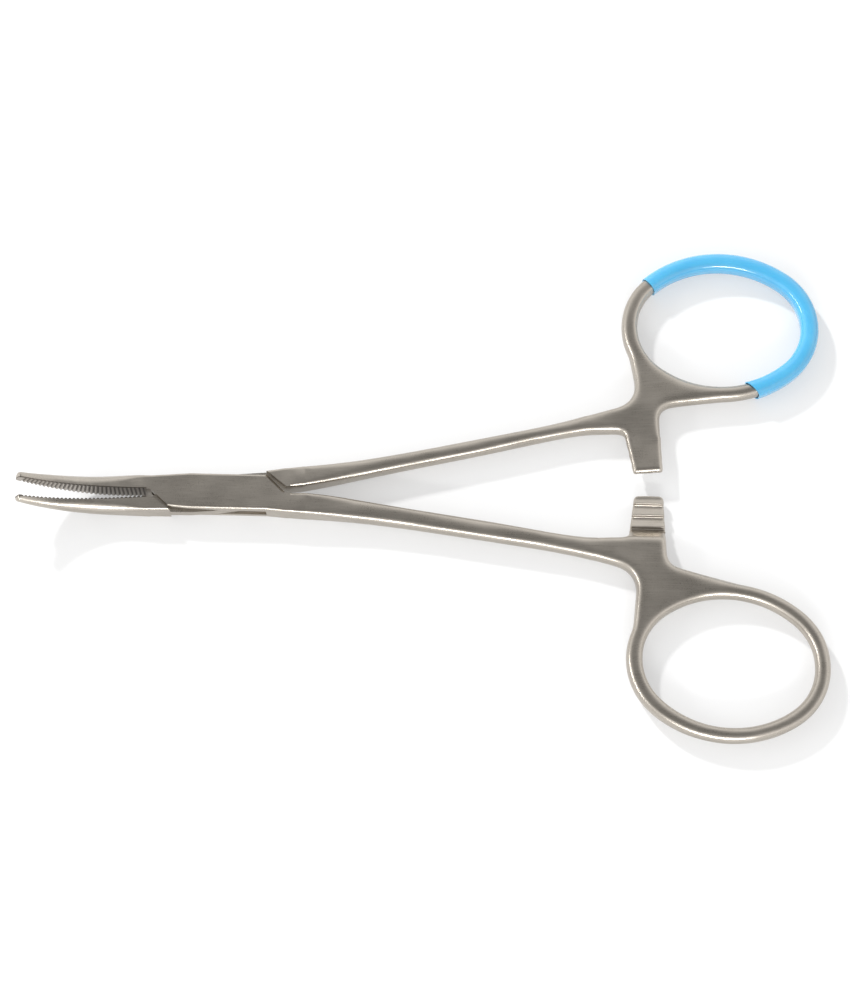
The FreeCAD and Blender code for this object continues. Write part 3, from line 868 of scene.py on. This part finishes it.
@dataclass(frozen=True)
class SoftLamp:
    """Oblong soft lamp that points at the middle of the forceps."""

    name: str
    place: tuple[float, float, float]
    size: tuple[float, float]
    watts: float
    mirrored: bool = True
    aim: tuple[float, float, float] = (30.0, 0.0, 0.0)

    def build(self) -> bpy.types.Object:
        """Hang the lamp in its place.

        Returns:
            The lamp.
        """
        data = bpy.data.lights.new(self.name, "AREA")
        data.shape = "RECTANGLE"
        data.size, data.size_y = mm(self.size[0]), mm(self.size[1])
        data.energy = self.watts
        lamp = bpy.data.objects.new(self.name, data)
        bpy.context.scene.collection.objects.link(lamp)
        spot = point(self.place)
        lamp.location = spot
        lamp.rotation_euler = (point(self.aim) - spot).to_track_quat("-Z", "Y").to_euler()
        lamp.visible_glossy = self.mirrored
        return lamp


@dataclass
class Studio:
    """White ground, a soft surround with a dim ceiling, and the lamps."""

    floor_size: float = 4000.0
    # Just clear of the underside, so that the two planes never share a level
    floor_gap: float = 0.02
    floor_finish: WhiteGround = field(default_factory=WhiteGround)
    # Elevation as its sine, and brightness of the surround there
    surround: tuple[tuple[float, float], ...] = (
        (0.0, 0.55), (0.12, 0.95), (0.3, 1.25), (0.55, 1.15),
        (0.76, 0.85), (0.86, 0.5), (0.93, 0.3), (1.0, 0.27),
    )
    # The key throws the shadow. The steel mirrors only the surround, the strip and the two glints
    lamps: tuple[SoftLamp, ...] = (
        SoftLamp("key", (-370, 607, 444), (60, 60), 6.0, mirrored=False),
        SoftLamp("strip", (40, -620, 260), (520, 200), 0.9),
        SoftLamp("glint", (40, -600, 290), (320, 40), 1.3),
        SoftLamp("side glint", (-560, -40, 300), (420, 50), 1.0),
    )

    def build(self) -> None:
        """Make the floor, the surround and the lamps."""
        self.floor()
        self.world()
        for lamp in self.lamps:
            lamp.build()

    def floor(self) -> None:
        """White ground just below the box lock's underside."""
        bpy.ops.object.select_all(action="DESELECT")
        bpy.ops.mesh.primitive_plane_add(size=mm(self.floor_size), location=(0, 0, -mm(self.floor_gap)))
        ground = bpy.context.object
        ground.name = "ground"
        ground.data.materials.append(self.floor_finish.build())

    def world(self) -> None:
        """Soft surround whose brightness goes by elevation, dim overhead."""
        world = bpy.data.worlds.new("soft surround")
        bpy.context.scene.world = world
        world.use_nodes = True
        tree = world.node_tree
        tree.nodes.clear()
        direction = add_node(tree, "ShaderNodeTexCoord").outputs["Generated"]
        height = add_node(tree, "ShaderNodeSeparateXYZ", inputs={0: direction}).outputs["Z"]
        ramp = add_node(tree, "ShaderNodeValToRGB", inputs={"Fac": height})
        stops = ramp.color_ramp.elements
        top = max(level for _, level in self.surround)
        while len(stops) < len(self.surround):
            stops.new(0.5)
        for stop, (place, level) in zip(stops, self.surround):
            stop.position = place
            share = level / top
            stop.color = (share, share, share, 1)
        glow = add_node(
            tree, "ShaderNodeBackground", inputs={"Color": ramp.outputs["Color"], "Strength": top}
        )
        add_node(tree, "ShaderNodeOutputWorld", inputs={"Surface": glow.outputs[0]})


@dataclass
class Viewpoint:
    """Camera of the photograph."""

    eye: tuple[float, float, float] = (29.31, -131.52, 358.88)
    target: tuple[float, float, float] = (32.03, -1.58, 1.8)
    roll: float = 1.2
    lens: float = 88.0
    sensor: float = 36.0
    near: float = 10.0

    def build(self) -> None:
        """Place the camera and make it the scene's own."""
        data = bpy.data.cameras.new("viewpoint")
        data.lens = self.lens
        data.sensor_width = self.sensor
        data.clip_start = mm(self.near)
        camera = bpy.data.objects.new("viewpoint", data)
        bpy.context.scene.collection.objects.link(camera)
        eye, roll = point(self.eye), math.radians(self.roll)
        forward = (point(self.target) - eye).normalized()
        right = Vector((math.cos(roll), -math.sin(roll), 0))
        right = (right - forward * right.dot(forward)).normalized()
        turn = Matrix((right, right.cross(forward), -forward)).transposed()
        camera.matrix_world = Matrix.Translation(eye) @ turn.to_4x4()
        bpy.context.scene.camera = camera


def main() -> None:
    """Build the scene in order."""
    logging.basicConfig(level=logging.INFO, format="%(name)s: %(message)s")
    Viewpoint().build()
    Studio().build()
    box_finish = SatinStainless("satin stainless, box half", turn=HALF_OPENING)
    tongue_finish = SatinStainless("satin stainless, tongue half", turn=-HALF_OPENING)
    pin_finish = SatinStainless("satin stainless, pin", turn=HALF_OPENING)
    parts = (
        ForgedHalf("box_half", "box_half_steel", Body.BOX, Side.BARE_RING, box_finish),
        ForgedHalf("tongue_half", "tongue_half_steel", Body.TONGUE, Side.COATED_RING, tongue_finish),
        LockPin(pin_finish),
        DipCoating(),
    )
    for part in parts:
        piece = part.build()
        log.info("%s: %d faces, %s", piece.name, len(piece.data.polygons), piece.active_material.name)
    bpy.context.scene.view_settings.view_transform = "Standard"


if __name__ == "__main__":
    main()
